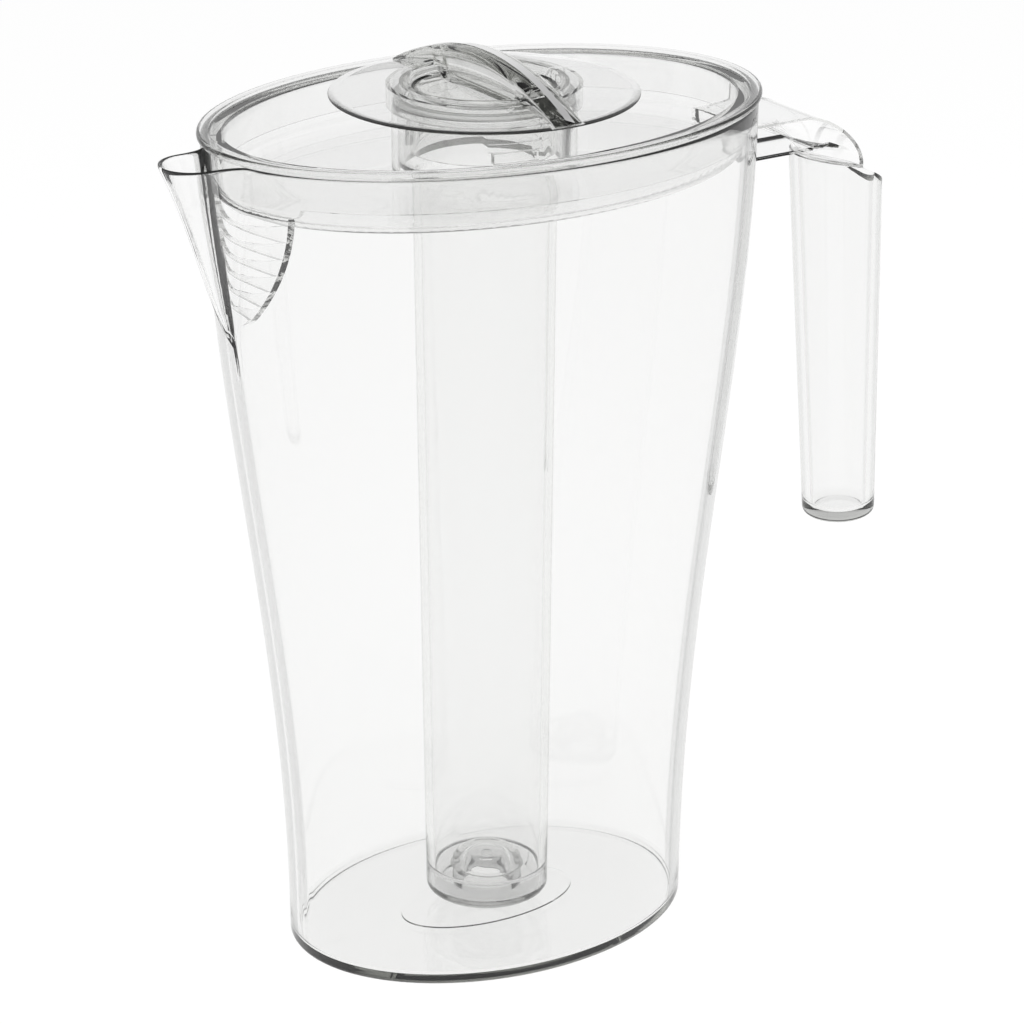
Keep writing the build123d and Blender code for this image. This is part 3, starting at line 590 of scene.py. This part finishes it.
def finish_piece(piece, body, node_names):
    """Smooths a piece, gives it its plastic and lets it stand for its construction pieces."""
    bpy.ops.object.select_all(action="DESELECT")
    piece.select_set(True)
    bpy.context.view_layer.objects.active = piece
    piece.data.materials.clear()
    piece.data.materials.append(plastics[node_names[0]])
    bpy.ops.object.shade_smooth_by_angle(angle=SMOOTH_ANGLE)
    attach(piece, body)
    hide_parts(*node_names)
    print(piece.name, len(piece.data.polygons), "faces")


# %% [markdown]
# The arm leaves the rim level, turns down in a long curve and ends on the grip, round like a pipe. It is
# drawn as outlines across it, in millimetres, from the wall to its end. Its underside opens like a trumpet
# towards the grip. A second body, smaller all round, makes the room inside it. A copy of the jug's outline,
# a hair larger, then cuts the arm's start, so that the arm stands just clear of the wall.

# %% Sizes of the handle's arm, in millimetres
ARM_HALF = 14.0
ARM_TOP = 241.3
ARM_UNDERSIDE = 230.7
ARM_START = 84.3
ARM_END = 128.0
ARM_CORNER = (22.0, 17.0)
CORNER_POWER = 1.6
ARM_WALL = 0.9
ROOM_START = 87.8
THROAT = 6.0
GRIP_RIM = ((114.0, 224.6), (121.0, 223.6), (128.0, 222.15))
SIDE_STEPS = 18
STRAIGHT_STEPS = 6
BENT_STEPS = 44
ARM_GAP = 0.00005
GAP_RINGS = 20


def throat_radius(z, inset):
    """The radius of the arm's round end at a height, wider towards the arm's underside."""
    rise = min(max(z - (ARM_UNDERSIDE - THROAT), 0), THROAT - 0.001)
    return ARM_HALF + THROAT - math.sqrt(THROAT**2 - rise**2) - inset


def rim_level(x):
    """The height of the grip's curved rim, seen from the side."""
    (x0, z0), (x1, z1), (x2, z2) = GRIP_RIM
    if x < x1:
        return z0 + (z1 - z0) * (x - x0) / (x1 - x0)
    return z1 + (z2 - z1) * (x - x1) / (x2 - x1)


def arm_top(x, inset):
    """The height of the arm's top, level and then bent down."""
    long, tall = ARM_CORNER
    past = min(max(x - (ARM_END - long), 0) / (long - inset), 1)
    return ARM_TOP - tall + (tall - inset) * (1 - past**CORNER_POWER) ** (1 / CORNER_POWER)


def arm_low(x, inset):
    """The height of the arm's lowest point: its underside, then the trumpet, then the grip's rim."""
    back = ARM_END - x
    if back > ARM_HALF + THROAT - inset:
        return ARM_UNDERSIDE + inset
    if back > ARM_HALF - inset:
        spread = ARM_HALF + THROAT - inset - back
        return ARM_UNDERSIDE - THROAT + math.sqrt(max(THROAT**2 - spread**2, 0)) + inset
    return rim_level(x) + inset


def arm_section(x, inset):
    """The arm's outline in an upright plane across it, half of it mirrored to the other side."""
    low = arm_low(x, inset)
    top = max(arm_top(x, inset), low + 0.2)
    side = []
    for i in range(SIDE_STEPS + 1):
        z = low + (top - low) * i / SIDE_STEPS
        reach = ARM_HALF - inset
        if z - inset < ARM_UNDERSIDE - 0.02:
            radius = throat_radius(z - inset, inset)
            reach = min(reach, math.sqrt(max(radius**2 - (ARM_END - x) ** 2, 0.04)))
        side.append((reach, z))
    half = [(side[0][0] * i / 4, low) for i in range(4)] + side
    half += [(side[-1][0] * (3 - i) / 4, top) for i in range(4)]
    other = [(-y, z) for y, z in reversed(half[1:-1])]
    return [Vector((x, y, z)) / 1000 for y, z in half + other]

# %% The handle's arm
def arm_body(name, inset, start):
    """The arm from a start near the wall to its rounded end, or with an inset the room inside it."""
    bend = ARM_END - ARM_HALF - THROAT
    places = [start + (bend - 0.5 - start) * i / STRAIGHT_STEPS for i in range(STRAIGHT_STEPS + 1)]
    places += [bend + (ARM_HALF + THROAT - inset) * i / BENT_STEPS for i in range(BENT_STEPS + 1)]
    return raise_rings(name, [arm_section(x, inset) for x in places])


arm = arm_body("arm", 0, ARM_START)
combine(arm, arm_body("arm_room", ARM_WALL, ROOM_START), "DIFFERENCE")
heights = [0.22 + 0.0379 * i / GAP_RINGS for i in range(GAP_RINGS + 1)]
combine(arm, raise_rings("cutter", [ring(z, -ARM_GAP) for z in heights]), "DIFFERENCE")
finish_piece(wall, "jug", ["vessel"])
finish_piece(arm, "jug", ["handle_arm"])

# %% [markdown]
# The tube's foot is hollow from within the plastic: a ring-shaped room with a hat left standing in it, which
# shows as the small bright hat at the bottom of the tube.

# %% The tube for ice, with a hollow foot
tube = closed_copy("core_tube", "ice_tube")
hollow = turned("hollow", [(15.6, 9.2), (16.8, 10.2), (17.1, 15.3)])
hat = turned("hat", [(10.9, 8.0), (10.4, 16.0)])
combine(hollow, hat, "DIFFERENCE")
combine(tube, hollow, "DIFFERENCE")
finish_piece(tube, "core", ["core_tube"])

# %% [markdown]
# The cap is a thin domed disc with a round dish in the middle, and a bridge over the dish to turn it by. The
# disc, the dish, the ring below and the plug are one turned outline. The bridge is drawn as outlines across
# it: a broad flat top, hollow sides and a narrower foot. Three lugs stand out from the plug.

# %% Sizes of the cap, in millimetres
DOME_TOP = 266.9
DOME_RADIUS = 210.9
CAP_RADIUS = 45.2
DISC = 0.35
SHELL = 1.0
BRIDGE_TOP = 274.25
BRIDGE_RADIUS = 89.2
BRIDGE_HALF = 5.2
DISH_FLOOR = 262.0
DISH_EDGE = 15.5
DISH_STEPS = 6
RIM_POINTS = 8
UNDER_DISH = 0.85
PLUG = (20.3, 21.7)
PLUG_BOTTOM = 246.2
RING = (27.2, 28.5)
RING_BOTTOM = 258.4
SEAT = (23.5, 24.6)
SEAT_LEVEL = 261.75


def dome(radius):
    """Height of the dome's surface at a distance from the middle."""
    return DOME_TOP - DOME_RADIUS + math.sqrt(DOME_RADIUS**2 - radius**2)


# %% The cap's outline
profile = [(2, DISH_FLOOR), (DISH_EDGE, DISH_FLOOR)]
for i in range(1, DISH_STEPS + 1):
    angle = math.pi / 2 * i / DISH_STEPS
    profile.append((DISH_EDGE + 6.2 * math.sin(angle), DISH_FLOOR + 3.0 * (1 - math.cos(angle))))
profile += [(22.1, dome(23) - 0.35), (22.8, dome(23.2) - 0.05)]
profile += [(r, dome(r)) for r in (24, 27, 30, 33, 36, 39, 42, 43.8)]
rim_middle = CAP_RADIUS - DISC / 2
rim_height = dome(rim_middle) - DISC / 2
for i in range(RIM_POINTS + 1):
    angle = math.pi * (0.5 - i / RIM_POINTS)
    profile.append((rim_middle + DISC / 2 * math.cos(angle), rim_height + DISC / 2 * math.sin(angle)))
profile += [(r, dome(r) - DISC) for r in (42, 39, 36, 33, 30, RING[1])]
profile += [(RING[1], RING_BOTTOM), (RING[0], RING_BOTTOM), (RING[0], dome(RING[0]) - SHELL)]
profile += [(SEAT[1], dome(SEAT[1]) - SHELL), (SEAT[1], SEAT_LEVEL), (SEAT[0], SEAT_LEVEL)]
profile += [(SEAT[0], dome(SEAT[0]) - SHELL - 0.2), (PLUG[1], 263.0), (PLUG[1], PLUG_BOTTOM)]
profile += [(PLUG[0], PLUG_BOTTOM), (PLUG[0], 263.0)]
for i in range(DISH_STEPS + 1):
    angle = math.pi / 2 * (UNDER_DISH - UNDER_DISH * i / DISH_STEPS)
    profile.append((DISH_EDGE + 4.9 * math.sin(angle), DISH_FLOOR - 1.0 + 2.4 * (1 - math.cos(angle))))
profile.append((2, DISH_FLOOR - 1.0))
cap = turned("cap", profile, points=144)
print("cap outline", len(profile), "points")

# %% The bridge over the dish
BRIDGE_END = 44.0
BRIDGE_STEPS = 60
SCOOP_STEPS = 8


def bridge_section(y):
    """The bridge's outline across it: a broad flat top on a narrower web with hollow sides."""
    top = BRIDGE_TOP - BRIDGE_RADIUS + math.sqrt(BRIDGE_RADIUS**2 - y**2)
    low = DISH_FLOOR - 0.5 if abs(y) < 21 else dome(abs(y)) - 0.45
    tall = top - low
    wide = BRIDGE_HALF - 0.6 * (abs(y) / CAP_RADIUS) ** 2
    web = wide - (wide - 2.4) * min(tall / 9, 1)
    half = [(0, top), (wide * 0.5, top - 0.012 * tall), (wide * 0.88, top - 0.05 * tall)]
    half += [(wide, top - 0.1 * tall), (wide * 0.97, top - 0.15 * tall)]
    for i in range(1, SCOOP_STEPS + 1):
        share = i / SCOOP_STEPS
        half.append((web + (wide * 0.97 - web) * (1 - math.sin(math.pi / 2 * share)),
                     top - tall * (0.15 + 0.6 * (1 - math.cos(math.pi / 2 * share)))))
    half += [(web + 0.2, top - 0.88 * tall), (web + 0.9, low), (0, low)]
    other = [(-x, z) for x, z in reversed(half[1:-1])]
    return [Vector((x, y, z)) / 1000 for x, z in half + other]


places = [-BRIDGE_END + 2 * BRIDGE_END * i / BRIDGE_STEPS for i in range(BRIDGE_STEPS + 1)]
combine(cap, raise_rings("bridge", [bridge_section(y) for y in places]), "UNION")

# %% The lugs on the plug
LUGS = 3
LUG_TURN = 20
for i in range(LUGS):
    around = math.radians(360 / LUGS * i + LUG_TURN)
    lug = start_from(bpy.ops.mesh.primitive_cube_add, "lug", size=1, location=(0, 0, 0))
    for vertex in lug.data.vertices:
        out = 21.9 + 2.0 * vertex.co.x
        along = 13 * vertex.co.y
        z = 248.7 + 3 * vertex.co.z
        vertex.co = Vector((out * math.cos(around) - along * math.sin(around),
                            out * math.sin(around) + along * math.cos(around), z)) / 1000
    combine(cap, lug, "UNION")
finish_piece(cap, "cap", ["core_cap"])

# %% [markdown]
# ## Finish
#
# Light passes many thin walls here, so it is followed through many turns.

# %% Finish
scene = bpy.context.scene
scene.view_settings.view_transform = "Standard"
scene.cycles.max_bounces = 40
scene.cycles.transmission_bounces = 40
scene.cycles.glossy_bounces = 12
scene.cycles.transparent_max_bounces = 40
